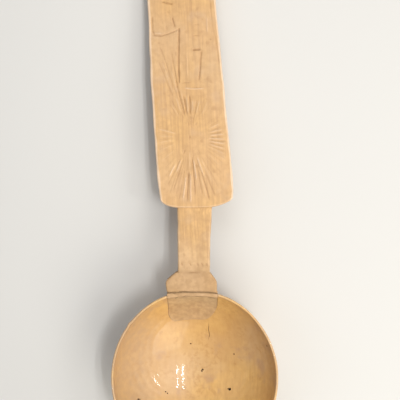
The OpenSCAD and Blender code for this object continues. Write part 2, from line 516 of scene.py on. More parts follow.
# The panel: its outline leans to the left and swells a little above its lower end
panelSizes = {
    "start": 107.1, "tip": 270.0, "width": 46.4, "thickness": 9.4, "face": 1.6, "edge": 1.1,
    "across": 94, "along": 306, "coarse": 24, "deep": 5, "coarseFrom": 240.0,
    "left": [(107.5, -21.6), (114, -21.8), (120, -22.5), (129, -23.8), (145, -24.9), (162, -26.2),
             (200, -28.2), (237, -29.7), (270, -31.0)],
    "right": [(107.5, 22.8), (113, 23.9), (118, 24.2), (127, 23.8), (137, 23.0), (162, 20.6),
              (200, 17.0), (237, 13.4), (270, 10.4)],
    "leftRise": (4.6, 5.0), "rightRise": (5.4, 3.0), "tipDrop": (3.2, 4.0),
}
sunSettings = {
    "middle": (-2.6, 151.2), "width": 1.25, "depth": 0.6, "seed": 5,
    # direction in degrees, first and last distance from the middle, weight
    "above": [(116.5, 15, 27, 0.5), (110.2, 17, 27, -0.5), (104.2, 14, 37, 0.95), (101.6, 18, 30, -0.4),
              (99.2, 14, 27, 0.9), (95.6, 15, 26, -0.6), (91.4, 14, 27, 0.9), (86.5, 16, 24, -0.5),
              (80.2, 7.5, 25, 0.6), (76.3, 15, 24, -0.45), (70.4, 14, 27, 0.4), (64.5, 16, 25, -0.3),
              (59.5, 15, 24, 0.25), (122.5, 16, 25, 0.35), (119.4, 15, 24, -0.4), (129.0, 15, 23, 0.3),
              (113.3, 27, 52, 0.5), (108.4, 28, 60, 0.55), (110.8, 30, 50, -0.35), (106.2, 30, 44, -0.35),
              (98.0, 7.2, 10.2, 0.8), (110.2, 12.4, 15.6, 0.75), (67.0, 7.8, 10.6, 0.8),
              (93.5, 7, 15, 0.4), (97.2, 10.5, 15, 0.35), (88.2, 7, 15, 0.3), (90.6, 9, 14, -0.4),
              (103, 9, 14, 0.35), (84.0, 9, 19, 0.35), (74.0, 9, 16, 0.3), (107.4, 16, 26, 0.45),
              (67.4, 15, 24, 0.3)],
    "below": [(237.0, 17, 30, 0.3), (241.0, 19, 28, -0.8), (244.5, 14, 33, 0.45), (247.6, 15, 24, -0.6),
              (251.6, 13, 35, 0.6), (255.5, 16, 38, 0.35), (259.4, 18, 40, 0.5), (263.2, 24, 39, -0.8),
              (267.0, 21, 40.5, 0.9), (270.1, 22, 41, -0.85), (274.7, 12, 36, 0.65), (277.9, 14, 27, -0.9),
              (282.0, 16, 37, 0.6), (284.7, 26, 39, -0.35), (287.2, 22, 41, 0.85), (289.0, 13, 25, -0.85),
              (292.7, 24, 40, 0.7), (296.4, 15, 30, -0.35), (299.8, 14, 36, 0.45), (306.0, 15, 32, 0.3),
              (231.0, 15, 26, 0.22), (246.0, 7.6, 11.4, 0.8), (301.0, 8.4, 12.6, 0.5),
              (257.0, 8, 17, 0.3), (263.0, 7, 22, 0.35), (267.6, 8, 20, -0.35), (279.6, 7, 14, 0.35),
              (285.6, 9, 22, 0.35), (293.5, 9, 22, 0.3), (271.6, 14, 24, 0.4), (249.2, 22, 38, 0.4)],
    "aside": [(-31, 12, 26, 0.4), (-26, 13, 24, -0.4), (-22.5, 11, 24, 0.55), (-18.6, 12.5, 22.5, -0.7),
              (-15.0, 11, 23, 0.65), (-10.6, 12, 22, -0.75), (-6.6, 11, 22.5, 0.6), (-2.4, 11.5, 21.5, -0.75),
              (1.8, 12, 22, 0.5), (6.0, 12, 21, -0.75), (10.5, 12, 21.5, 0.5), (15.0, 12.5, 21, -0.6),
              (20.0, 12, 21, 0.45), (25.5, 13, 20.5, -0.45), (31.0, 13, 20, 0.35), (40, 12, 20, 0.25),
              (-38, 13, 27, 0.35), (-43, 15, 26, -0.3), (-49, 14, 30, 0.35), (-56, 15, 30, 0.25),
              (160, 10, 21, 0.3), (165, 9.5, 21, -0.6), (171, 10, 21, 0.35), (177, 10, 20, -0.35),
              (183, 10, 21, 0.35), (189, 11, 20, -0.35), (196, 11, 21, 0.3), (203, 11, 20, -0.3),
              (211, 12, 22, 0.25), (219, 13, 24, -0.25)],
}


def sunRays():
    s = sunSettings
    draw = random.Random(s["seed"])
    x, y = s["middle"]
    strokes = [([(x - 0.6, y + 1.6), (x - 0.2, y - 1.2)], 0.8, 0.8)]
    for angle, first, last, weight in s["above"] + s["below"] + s["aside"]:
        points = []
        for far in np.linspace(first, last, 4):
            turn = math.radians(angle + draw.uniform(-0.45, 0.45))
            points.append((x + far * math.cos(turn), y + far * math.sin(turn)))
        strokes.append((points, weight, 2.2))
    strokes.append(([(-6.6, 182.2), (-0.5, 181.7), (5.9, 182.0)], -0.8, 2.0))  # ridge under the feet
    return strokes


# The figure above the sun: a plain standing figure in a few straight cuts
figureSettings = {"width": 1.45, "depth": 0.8}


def figureStrokes():
    return [
        # body's long left side, hem and feet
        ([(-9.8, 218.8), (-9.9, 210.8), (-10.0, 202.1), (-10.0, 193.4), (-9.7, 185.2)], 0.95, 1.2),
        ([(-9.9, 219.6), (-9.7, 217.6)], 1.0, 0.4),
        ([(-9.2, 185.2), (-6.9, 185.5), (-2.3, 186.2)], 0.4, 1.5),
        ([(2.1, 186.5), (5.6, 185.5)], 0.45, 1.5),
        # gap between the legs
        ([(-1.3, 206.2), (4.1, 206.5)], 1.0, 1.0),
        ([(4.3, 206.1), (3.9, 200.9), (3.4, 194.0), (2.7, 186.9)], 0.8, 1.0),
        ([(-1.6, 203.5), (-1.8, 195), (-1.9, 187.5)], 0.22, 3.0),
        ([(-5.0, 205), (-4.6, 188)], -0.3, 4.0),
        # arm held out and up
        ([(-10.2, 218.8), (-16.5, 216.2), (-21.0, 215.0), (-25.4, 215.3), (-26.3, 218.4),
          (-26.5, 223), (-26.6, 227.2)], 0.7, 1.5),
        ([(-25.0, 216.6), (-20.6, 216.4)], -0.5, 1.5),
        ([(-14.1, 226.5), (-12.3, 220.3)], 0.75, 1.0),
        ([(-17.9, 221.8), (-17.5, 218.4)], 0.4, 1.0),
        ([(-17.5, 230.2), (-15.4, 229.6)], 0.45, 0.6),
        ([(-21.0, 236.5), (-17.2, 235.6), (-13.5, 234.6)], 0.85, 1.2),
        # belt and coat
        ([(-1.0, 222.1), (4.0, 222.1)], 0.4, 1.5),
        ([(-1.6, 215.2), (4.0, 215.2)], 0.4, 1.5),
        ([(4.3, 225.6), (5.2, 225.0)], 0.6, 0.5),
        ([(7.6, 226.4), (7.9, 217.0)], -0.5, 2.0),
        ([(-4.1, 219.0), (-3.8, 212.8)], 0.25, 2.0),
        ([(9.2, 213.1), (10.6, 212.7)], 0.5, 0.6),
        ([(-14.4, 204.8), (-13.6, 198.3), (-10.8, 183.6)], 0.5, 2.0),
        ([(-12.2, 205.4), (-11.7, 202.0)], 0.45, 1.0),
        # long lines beside the right edge
        ([(9.8, 237.0), (10.9, 222.6), (12.6, 213.2)], 0.3, 3.0),
        ([(12.7, 216.4), (14.2, 206.0), (15.4, 196.6)], 0.4, 3.0),
        # plain upper end: a round head and a border line
        ([(-3.6 + 4.6 * math.cos(a), 247.6 + 5.2 * math.sin(a)) for a in np.linspace(-1.9, 4.9, 26)],
         0.6, 1.0),
        ([(-9.9, 219.6), (-10.6, 238.6), (-7.0, 242.2)], 0.12, 3.0),
        ([(-27.5, 262.5), (-10, 263.8), (7.6, 262.5)], 0.5, 2.0),
    ]


def panelRule(points):
    s = panelSizes
    u = points[:, 0] / (s["width"] / 2)
    long = s["tip"] - s["start"]
    v = points[:, 1] / long + 0.5
    rise = np.where(u < 0, s["leftRise"][0] * np.abs(u) ** s["leftRise"][1],
                    s["rightRise"][0] * np.abs(u) ** s["rightRise"][1])
    low = s["start"] + rise
    high = s["tip"] - s["tipDrop"][0] * np.abs(u) ** s["tipDrop"][1]
    y = low * (1 - v) + high * v
    left = follow(s["left"], y)
    right = follow(s["right"], y)
    x = left + (right - left) * (u + 1) / 2
    z = s["face"] - s["thickness"] / 2 + points[:, 2]
    out = np.stack([x, y, z], axis=1)
    edge = np.clip((np.abs(u) - 0.8) / 0.2, 0, 1)
    out[:, 0] += wander(out * [0.2, 1, 1], 17, 2, 0.3) * edge * np.sign(u)
    top = points[:, 2] > 0
    out[top, 2] += wander(out[top], 16, 3, 0.3) + wander(out[top] * [1, 0.25, 1], 4, 9, 0.13)
    out[~top, 2] += (facets(out[~top], 7.5, 2.6, 4) - 0.35) * 0.55
    side = np.abs(points[:, 0]) > s["width"] / 2 - s["edge"]
    out[side, 0] += (facets(out[side], 8.0, 1.8, 6) - 0.35) * 0.5 * -np.sign(u[side])
    return out


neckSizes = {
    "from": 60.0, "to": 112.0, "width": 21.4, "top": -0.5, "thickness": 10.4, "sweep": 1.5, "lowSweep": 1.2,
    "left": [(60, -10.9), (70, -10.6), (104, -10.9), (112, -11.0)],
    "right": [(60, 9.6), (70, 9.6), (85, 9.9), (104, 10.7), (112, 10.9)],
    "edge": 1.3, "across": 44, "along": 96, "deep": 12,
    "nicks": [-8.1, -2.8, 1.7, 4.6, 7.5], "nickPlace": 71.6, "nickWidth": 1.3, "nickDepth": 0.55,
}


def neckRule(points):
    s = neckSizes
    y = (s["from"] + s["to"]) / 2 + points[:, 1]
    left, right = follow(s["left"], y), follow(s["right"], y)
    x = left + (right - left) * (points[:, 0] / s["width"] + 0.5)
    z = s["top"] - s["thickness"] / 2 + points[:, 2]
    out = np.stack([x, y, z], axis=1)
    top = points[:, 2] > 0
    out[top, 2] += s["sweep"] * np.clip((y[top] - 100) / 8, 0, 1) ** 2  # rises to meet the panel
    out[top, 2] += s["lowSweep"] * np.clip((73 - y[top]) / 7, 0, 1) ** 2  # and the collar
    out[top, 2] += wander(out[top], 9, 5, 0.28) + wander(out[top] * [1, 0.2, 1], 3.2, 2, 0.12)
    out[~top, 2] += (facets(out[~top], 6.5, 2.2, 7) - 0.35) * 0.6
    side = np.abs(points[:, 0]) > s["width"] / 2 - s["edge"]
    out[side, 0] += wander(out[side], 8, 6, 0.35)
    return out


collarSizes = {
    "near": 34.0, "far": 66.9, "edge": 0.8, "across": 52, "deep": 30,
    "left": [(34, -16.6), (53, -17.1), (57.1, -17.9), (60.0, -18.2), (61.6, -17.7), (66.7, -11.6)],
    "right": [(34, 14.4), (53, 13.9), (58, 14.1), (61.0, 13.9), (62.2, 13.2), (66.9, 9.4)],
    "topLine": [(34, -0.6), (53.7, -0.3), (54.6, 0.5), (55.6, 0.95), (57, 1.1), (66.0, 1.0), (66.9, 0.1)],
    "dots": [(-5.5, 61.9), (-2.75, 61.9)], "dotWidth": 0.9, "dotDepth": 0.5,
    "groove": [(-19.5, 53.3), (-14.0, 53.8), (-6.0, 54.05), (2.0, 54.05), (9.0, 53.8), (15.5, 53.2)],
    "grooveWidth": 2.1, "grooveDepth": 0.6,
}


def grooveBar():  # a long wedge, slightly bowed, that opens the line between foot and collar
    s = collarSizes
    wide, deep = s["grooveWidth"] * 0.8, s["grooveDepth"]
    verts, faces = [], []
    for x, y in s["groove"]:
        verts += [(x, y + side, z) for side, z in ((-wide, 1.6), (-0.18, -deep), (0.18, -deep), (wide, 1.6))]
    for k in range(len(s["groove"]) - 1):
        a, b = 4 * k, 4 * k + 4
        faces += [(a + (i + 1) % 4, a + i, b + i, b + (i + 1) % 4) for i in range(4)]
    last = len(verts) - 4
    faces += [(0, 1, 2, 3), (last + 3, last + 2, last + 1, last)]
    return makeObject("groove", verts, faces)


def footFace():  # everything inside the foot's nearly flat inner face
    a, b, c = jointSizes["face"]
    form = bowlShell("footFace", solid=True, carved=False)
    grow = np.array([a / bowlSizes["halfWidth"], b / bowlSizes["halfLength"], c / bowlSizes["depth"]])

    def rule(points):
        out = points * grow
        out[:, 1] += wander(points, 6, 5, 0.3) + wander(points * [1, 1, 0.3], 1.6, 3, 0.12)
        return out

    warp(form, rule)
    return form


def cheekLine():  # the cheek's underside, from the neck down to where it runs out on the bowl
    s, b = jointSizes, bowlSizes
    u = np.linspace(0, 1, 12)
    t = np.radians(14 + 38 * u)
    grow = s["cheekAtRim"] + (s["cheekAtTip"] - s["cheekAtRim"]) * np.sqrt(u)
    y, z = (b["halfLength"] + grow) * np.cos(t), -(b["depth"] + grow) * np.sin(t)
    return np.concatenate(([34.0], y[::-1], [66.9])), np.concatenate(([z[-1] - 0.2], z[::-1], [-11.4]))


def collarBlock():
    s = collarSizes
    half = [10.0, (s["far"] - s["near"]) / 2, 10.0]
    middle = (s["far"] + s["near"]) / 2
    grid = [edgeStations(10.0, s["edge"], s["across"]), edgeStations(half[1], s["edge"], 46),
            edgeStations(10.0, s["edge"], s["deep"])]
    obj = boxFromStations("collar", grid, half, s["edge"])
    under = cheekLine()

    def rule(points):
        y = middle + points[:, 1]
        left, right = follow(s["left"], y), follow(s["right"], y)
        x = left + (right - left) * (points[:, 0] / 20 + 0.5)
        high, low = follow(s["topLine"], y), np.interp(y, *under)
        narrow = np.clip((-points[:, 2] / 10), 0, 1)  # the cheek narrows towards its underside
        x = x + (-2.2 - x) * 0.2 * narrow ** 2
        z = low + (high - low) * (points[:, 2] / 20 + 0.5)
        out = np.stack([x, y, z], axis=1)
        top = points[:, 2] > 9.0
        out[top, 2] += wander(out[top], 7, 4, 0.2)
        rest = ~top
        out[rest, 0] += (facets(out[rest], 7, 1.2, 3) - 0.35) * 0.6 * -np.sign(points[rest, 0])
        out[rest, 2] += wander(out[rest], 9, 7, 0.35)
        return out

    warp(obj, rule)
    return obj


# Materials
def woodFibreGroup():  # long fibres and soft growth bands along the mapped Y, with short dark pores
    inputs = {"Vector": "Vector", "Pale": "Color", "Middle": "Color", "Dark": "Color", "Band Size": "Float",
              "Fibre Size": "Float", "Pores": "Float", "Streaks": "Float"}
    outputs = {"Color": "Color", "Height": "Float", "Mask": "Float"}
    tree, given, result = groupShell("woodFibre", inputs, outputs)
    feed, add, maths, mix, ramp = addNodes(tree)

    def stretched(along, size, detail, roughness=0.5):
        mapping = add("ShaderNodeMapping", {"Scale": (1.0, along, 1.0), "Vector": given["Vector"]})
        return add("ShaderNodeTexNoise", {"Vector": mapping.outputs[0], "Scale": size, "Detail": detail,
                                          "Roughness": roughness}).outputs["Fac"]

    fibre = stretched(0.035, given["Fibre Size"], 3.0, 0.6)
    pore = stretched(0.06, maths("MULTIPLY", given["Fibre Size"], 1.7), 1.0)
    tone = ramp(stretched(0.10, given["Band Size"], 2.0), 0.36, 0.64)
    streak = maths("MULTIPLY", ramp(fibre, 0.42, 0.70), given["Streaks"])
    dots = maths("MULTIPLY", ramp(pore, 0.62, 0.72), given["Pores"], True)
    color = mix(streak, mix(tone, given["Middle"], given["Pale"]), given["Dark"])
    height = maths("SUBTRACT", maths("SUBTRACT", 1.0, fibre), maths("MULTIPLY", dots, 0.6))
    feed(result, {"Color": mix(dots, color, given["Dark"]), "Height": height, "Mask": tone})
    return tree


def stainGroup():  # uneven age, from large soft patches down to fine grain
    labels = ("Patches", "Spots", "Blots", "Mottle", "Bloom", "Cloudy", "Grain")
    inputs = {"Vector": "Vector", "Patch Size": "Float", "Spot Size": "Float", "Seed": "Float"}
    tree, given, result = groupShell("ageStain", inputs, dict.fromkeys(labels, "Float"))
    feed, add, maths, mix, ramp = addNodes(tree)

    def cloud(size, offset, detail):
        return add("ShaderNodeTexNoise", {
            "Vector": given["Vector"], "Scale": size, "Detail": detail,
            "W": maths("ADD", given["Seed"], offset)}, noise_dimensions="4D").outputs["Fac"]

    mottle = ramp(cloud(430.0, 7.9, 1.0), 0.50, 0.62)
    feed(result, {
        "Patches": ramp(cloud(given["Patch Size"], 0.0, 3.0), 0.40, 0.66),
        "Spots": ramp(cloud(given["Spot Size"], 3.7, 1.0), 0.66, 0.74),
        "Blots": ramp(cloud(95.0, 5.3, 2.0), 0.56, 0.68),
        "Mottle": maths("MULTIPLY", mottle, ramp(cloud(40.0, 1.9, 1.0), 0.42, 0.58)),
        "Bloom": ramp(cloud(17.0, 2.6, 2.0), 0.44, 0.60),
        "Cloudy": ramp(cloud(260.0, 6.4, 3.0), 0.36, 0.66),
        "Grain": cloud(2600.0, 9.1, 2.0)})
    return tree


def wearGroup():  # edges worn pale, hollows painted dark as shade, cuts darkened as shade with grime, from what is stored on the mesh
    inputs = {"Color": "Color", "Rubbed": "Color", "Dirt": "Color", "Wear Amount": "Float",
              "Dirt Amount": "Float", "Cut Amount": "Float"}
    tree, given, result = groupShell("wearAndDirt", inputs, {"Color": "Color", "Dirt Mask": "Float"})
    feed, add, maths, mix, ramp = addNodes(tree)
    edge, cut = (add("ShaderNodeAttribute", attribute_name=name).outputs["Fac"] for name in ("edge", "cut"))
    # edges worn pale; the strip along the panel sides adds a painted highlight
    wear = maths("MULTIPLY", ramp(edge, 0.12, 0.55), given["Wear Amount"], True)
    # painted shade: darker in the hollows
    hollow = maths("MULTIPLY", ramp(edge, -0.10, -0.5), given["Dirt Amount"], True)
    # the cuts darkened by their depth: painted shade, with grime
    line = maths("MULTIPLY", cut, given["Cut Amount"], True)
    # ridges left between cuts painted pale: wear, with a painted highlight
    ridge = maths("MULTIPLY", maths("MULTIPLY", cut, -1.0, True), 0.75)
    dirt = maths("MAXIMUM", hollow, line)
    color = mix(maths("MAXIMUM", wear, ridge), given["Color"], given["Rubbed"])
    feed(result, {"Color": mix(dirt, color, given["Dirt"]), "Dirt Mask": dirt})
    return tree


groups = {"fibre": woodFibreGroup(), "stain": stainGroup(), "wear": wearGroup()}

# the dark tone is painted shade for hollows and cuts, with grime; the pale tone is worn edges with a painted
# highlight
woodSettings = {
    "bowlWood": {
        "pale": (0.72, 0.47, 0.175), "middle": (0.63, 0.38, 0.13), "dark": (0.44, 0.23, 0.072),
        "rubbed": (0.66, 0.45, 0.29), "dirt": (0.24, 0.11, 0.045), "stain": (0.48, 0.27, 0.11),
        "blot": (0.40, 0.25, 0.165), "bloom": (0.53, 0.37, 0.225),
        "blots": 0.45, "mottle": 0.34, "cloudy": 0.24, "streaks": 0.34,
        "band": 24.0, "fibre": 420.0, "pores": 0.12, "wear": 0.36, "dirtAmount": 0.45, "cut": 0.0,
        "patch": 30.0, "spot": 210.0, "seed": 2.0, "rough": (0.34, 0.48), "outsideRough": 0.16,
        "coat": 0.25, "bump": 0.10,
        "heart": (0.43, 0.285, 0.165),
    },
    "handleWood": {
        "pale": (0.72, 0.458, 0.199), "middle": (0.61, 0.366, 0.15), "dark": (0.40, 0.22, 0.09),
        "rubbed": (0.82, 0.63, 0.46), "dirt": (0.26, 0.14, 0.075), "stain": (0.56, 0.36, 0.21),
        "blot": (0.50, 0.34, 0.22), "bloom": (0.62, 0.43, 0.25),
        "blots": 0.30, "mottle": 0.16, "cloudy": 0.24, "streaks": 0.6,
        "band": 30.0, "fibre": 560.0, "pores": 0.35, "wear": 0.75, "dirtAmount": 0.2, "cut": 0.66,
        "patch": 28.0, "spot": 190.0, "seed": 7.0, "rough": (0.50, 0.70), "outsideRough": 0.0,
        "coat": 0.0, "bump": 0.26,
        "endPale": (0.59, 0.40, 0.205), "endRing": (0.49, 0.315, 0.155), "endBlot": (0.35, 0.20, 0.105),
        "endFleck": (0.36, 0.21, 0.09), "endBloom": (0.50, 0.40, 0.26), "fleckSize": 340.0,
        "ringSize": 115.0, "ringPlace": (-9.8, 34.4, -26.5),  # the pith, near the foot's lower left corner
        # painted shade tones for the collar; the tan tones also give the foot its warmer lower part
        "soil": (0.42, 0.255, 0.12), "tan": (0.45, 0.265, 0.115), "tanDark": (0.36, 0.21, 0.09),
        "tanPale": (0.58, 0.40, 0.24), "tanFleck": (0.33, 0.19, 0.08),
    },
}


def plainMaterial(name):
    material = bpy.data.materials.new(name)
    material.use_nodes = True
    return material, material.node_tree, material.node_tree.nodes["Principled BSDF"]


def woodMaterial(name):
    s = woodSettings[name]
    material, tree, shader = plainMaterial(name)
    feed, add, maths, mix, ramp = addNodes(tree)

    def lay(over, mask, strength, tone):  # a tone laid over a colour where the mask is strong
        return mix(maths("MULTIPLY", mask, strength), over, s[tone])

    def onMesh(label):
        return add("ShaderNodeAttribute", attribute_name=label).outputs["Fac"]

    where = add("ShaderNodeTexCoord").outputs["Object"]
    level = add("ShaderNodeMapping", {"Rotation": (lean, 0.0, math.radians(-3.0)),
                                      "Vector": where}).outputs[0]
    fibre = add("ShaderNodeGroup", node_tree=groups["fibre"])
    feed(fibre, {"Vector": level, "Pale": (*s["pale"], 1.0), "Middle": (*s["middle"], 1.0),
                 "Dark": (*s["dark"], 1.0), "Band Size": s["band"], "Fibre Size": s["fibre"],
                 "Pores": s["pores"], "Streaks": s["streaks"]})
    stainNode = add("ShaderNodeGroup", node_tree=groups["stain"])
    feed(stainNode, {"Vector": level, "Patch Size": s["patch"], "Spot Size": s["spot"], "Seed": s["seed"]})
    stain = stainNode.outputs
    color = fibre.outputs["Color"]
    for mask, strength, tone in (("Patches", 0.5, "stain"), ("Bloom", 0.5, "bloom"),
                                 ("Cloudy", s["cloudy"], "dark"), ("Blots", s["blots"], "blot"),
                                 ("Mottle", s["mottle"], "dark"), ("Spots", 0.4, "dark")):
        color = lay(color, stain[mask], strength, tone)
    wear = add("ShaderNodeGroup", node_tree=groups["wear"])
    feed(wear, {"Color": color, "Rubbed": (*s["rubbed"], 1.0), "Dirt": (*s["dirt"], 1.0),
                "Wear Amount": s["wear"], "Dirt Amount": s["dirtAmount"], "Cut Amount": s["cut"]})
    color = wear.outputs["Color"]
    if name == "bowlWood":  # darker, duller left wall: painted shade, with a duller band of growth there
        share = maths("ADD", maths("MULTIPLY", stain["Cloudy"], 0.4), 0.4)
        color = lay(color, onMesh("heart"), share, "heart")
    if name == "handleWood":  # the foot's end grain inside the bowl is greyer, with growth rings
        centre = tuple(-c for c in levelToWorld @ Vector(s["ringPlace"]))
        moved = add("ShaderNodeMapping", {"Location": centre, "Vector": where}).outputs[0]
        rings = add("ShaderNodeTexWave", {"Scale": s["ringSize"], "Distortion": 3.0, "Detail Scale": 1.2,
                                          "Vector": moved}, wave_type="RINGS", rings_direction="Y")
        ring = maths("MULTIPLY", ramp(rings.outputs["Fac"], 0.1, 0.9), stain["Cloudy"])
        flecks = add("ShaderNodeTexNoise", {"Scale": s["fleckSize"], "Detail": 4.0, "Vector": where})
        fine = ramp(flecks.outputs["Fac"], 0.42, 0.62)
        grey = mix(ring, s["endPale"], s["endRing"])
        grey = lay(grey, stain["Blots"], 0.8, "endBlot")
        grey = lay(grey, fine, 0.55, "endFleck")
        grey = lay(grey, stain["Bloom"], 0.5, "endBloom")
        # painted shade: darker towards the bowl, full on the collar and fading along the neck; the tan also
        # warms the foot's lower part
        near = onMesh("handled")
        soil = maths("MULTIPLY", near, maths("ADD", stain["Cloudy"], 0.15))
        tan = maths("MULTIPLY", maths("POWER", near, 3.0), 0.75)
        color = lay(color, soil, 0.55, "soil")
        color = mix(tan, color, s["tan"])
        color = lay(color, tan, maths("MULTIPLY", stain["Cloudy"], 0.6), "tanDark")
        color = lay(color, tan, maths("MULTIPLY", stain["Patches"], 0.4), "tanPale")
        color = lay(color, maths("MULTIPLY", near, fine), 0.38, "tanFleck")
        color = mix(maths("MULTIPLY", onMesh("endGrain"), 0.85), color, grey)
    rough = ramp(fibre.outputs["Mask"], 0.0, 1.0, *s["rough"])
    rough = maths("ADD", rough, maths("MULTIPLY", stain["Patches"], 0.08))
    if s["outsideRough"]:
        rough = maths("ADD", rough, maths("MULTIPLY", onMesh("outside"), s["outsideRough"]))
    rough = maths("ADD", rough, maths("MULTIPLY", wear.outputs["Dirt Mask"], 0.2), True)
    height = maths("ADD", fibre.outputs["Height"], maths("MULTIPLY", stain["Grain"], 0.35))
    bump = add("ShaderNodeBump", {"Strength": s["bump"], "Distance": 0.0004, "Height": height})
    feed(shader, {"Base Color": color, "Roughness": rough, "Coat Weight": s["coat"], "Coat Roughness": 0.06,
                  "Specular IOR Level": 0.42, "Normal": bump.outputs[0]})
    return material


def darkMaterial(name, color, rough):
    material, tree, shader = plainMaterial(name)
    feed, add, maths, mix, ramp = addNodes(tree)
    stain = add("ShaderNodeGroup", node_tree=groups["stain"])
    feed(stain, {"Patch Size": 160.0, "Spot Size": 700.0,
                 "Vector": add("ShaderNodeTexCoord").outputs["Object"]})
    grain = stain.outputs["Grain"]
    pale = tuple(min(1.0, c * 2.6) for c in color)
    bump = add("ShaderNodeBump", {"Strength": 0.3, "Distance": 0.0003, "Height": grain})
    feed(shader, {"Base Color": mix(stain.outputs["Patches"], color, pale), "Normal": bump.outputs[0],
                  "Roughness": ramp(grain, 0.3, 0.7, rough - 0.12, rough + 0.1)})
    return material


materials = {name: woodMaterial(name) for name in woodSettings}
# pit and split walls painted near black: painted shade in the narrow holes and splits, with their dirt
materials["pitDark"] = darkMaterial("pitDark", (0.06, 0.026, 0.012), 0.85)
materials["seamGlue"] = darkMaterial("seamGlue", (0.12, 0.06, 0.028), 0.6)


# Finishing: what the materials read from the mesh, then the place in the frame
def edgeValues(obj):  # above zero on edges that stand out, below zero in hollows
    mesh = obj.data
    points, normals = vertexArray(mesh), readTriples(mesh.vertex_normals, "vector")
    pairs = np.empty(len(mesh.edges) * 2, dtype=int)
    mesh.edges.foreach_get("vertices", pairs)
    a, b = pairs.reshape(-1, 2).T
    step = points[b] - points[a]
    length = np.maximum(np.linalg.norm(step, axis=1), 1e-6)
    bend = np.einsum("ij,ij->i", step, normals[b] - normals[a]) / length ** 2
    weight = np.clip(length, 0.05, 1.0)
    total, share = np.zeros(len(points)), np.zeros(len(points))
    for end in (a, b):
        np.add.at(total, end, bend * weight)
        np.add.at(share, end, weight)
    value = total / np.maximum(share, 1e-9)
    for _ in range(3):  # smooth along the surface
        total, share = value.copy(), np.ones(len(points))
        np.add.at(total, a, value[b])
        np.add.at(total, b, value[a])
        np.add.at(share, a, 1.0)
        np.add.at(share, b, 1.0)
        value = total / share
    return value


def nearest(points, spots, values, reach=1e9):  # each point takes the value of the closest spot in reach
    tree = KDTree(len(spots))
    for k, spot in enumerate(spots):
        tree.insert(spot, k)
    tree.balance()
    found = [tree.find(point)[1:] for point in points]
    return np.array([values[k] if far < reach else 0.0 for k, far in found])


def carry(obj, sources):  # copies the cuts' depth from the blocks they were pressed into
    spots, values = [], []
    for points, cut in sources:
        spots.append(points[np.abs(cut) > 0.001])
        values.append(cut[np.abs(cut) > 0.001])
    return nearest(vertexArray(obj.data), np.concatenate(spots), np.concatenate(values), 0.08)


def finish(obj, sharpAngle):
    obj.data.transform(levelToWorld)
    placed = vertexArray(obj.data)
    placed[:, 2] = np.maximum(placed[:, 2], 0.0)  # the worn flat where the ladle stands
    obj.data.vertices.foreach_set("co", placed.reshape(-1))
    obj.data.shade_smooth()
    obj.data.set_sharp_from_angle(angle=math.radians(sharpAngle))


def setMaterials(obj, *names):
    obj.data.materials.clear()
    for name in names:
        obj.data.materials.append(materials[name])


def buildBowl():
    shell = bowlShell("bowlWood")
    setMaterials(shell, "bowlWood")
    pits = pitCutters(holeSpots(shell), materials["pitDark"])
    combine(shell, footBar("notch", jointSizes["film"]), "DIFFERENCE")
    before = vertexArray(shell.data), edgeValues(shell)
    combine(shell, pits, "DIFFERENCE")
    split = crackCutter("bowlSplit", shell, crackSettings["bowlPaths"], crackSettings["bowlWidth"])
    setMaterials(split, "pitDark")
    combine(shell, split, "DIFFERENCE")
    points = vertexArray(shell.data)
    s = bowlSizes
    half = np.array([s["halfWidth"], s["halfLength"], s["depth"]])
    middle = half - np.array([s["lip"], s["lip"], s["floor"]]) / 2
    storeValues(shell, "outside", (np.linalg.norm(points / middle, axis=1) > 1).astype(float))
    storeValues(shell, "edge", nearest(points, *before))
    # painted shade: darker towards the left wall, from x = -24 outward
    edge = -24 + wander(points * [0.2, 1, 1], 26, 3, 5.0)
    storeValues(shell, "heart", np.clip((edge - points[:, 0]) / 12, 0, 1))
    finish(shell, 40)
    return shell


def buildSeam():
    sunk = jointSizes["filmSunk"]
    seam = bowlShell("glueSeam", outGrow=-sunk, inGrow=sunk, lipDrop=sunk)
    combine(seam, footBar("seamOuter", jointSizes["film"]), "INTERSECT")
    combine(seam, footBar("seamInner", 0.0), "DIFFERENCE")
    setMaterials(seam, "seamGlue")
    finish(seam, 40)
    return seam


def sideWearAndHighlight(points):  # the strip along both sides of the panel's face painted pale: wear, with a painted highlight on the rounded edges
    p = panelSizes
    left = points[:, 0] - follow(p["left"], points[:, 1])
    right = follow(p["right"], points[:, 1]) - points[:, 0]
    width = 1.7 + wander(points * [0, 1, 0], 9, 4, 1.1)
    near = np.clip(1.3 - np.minimum(left, right * 1.5) / width, 0, 1)
    return 0.42 * near * (points[:, 1] > p["start"] + 1)


def pressCuts(block, strokes, width, depth, height):
    lines = lineObject("knifeLines", strokes, height)
    runNodes(block, cutTree(), {"Lines": lines, "Cut Width": width, "Cut Depth": depth, "Face Height": height,
                                "Material": materials["handleWood"]})
    bpy.data.objects.remove(lines)
    values = np.zeros(len(block.data.vertices))
    block.data.attributes["cut"].data.foreach_get("value", values)
    block.data.attributes.remove(block.data.attributes["cut"])
    return vertexArray(block.data), values


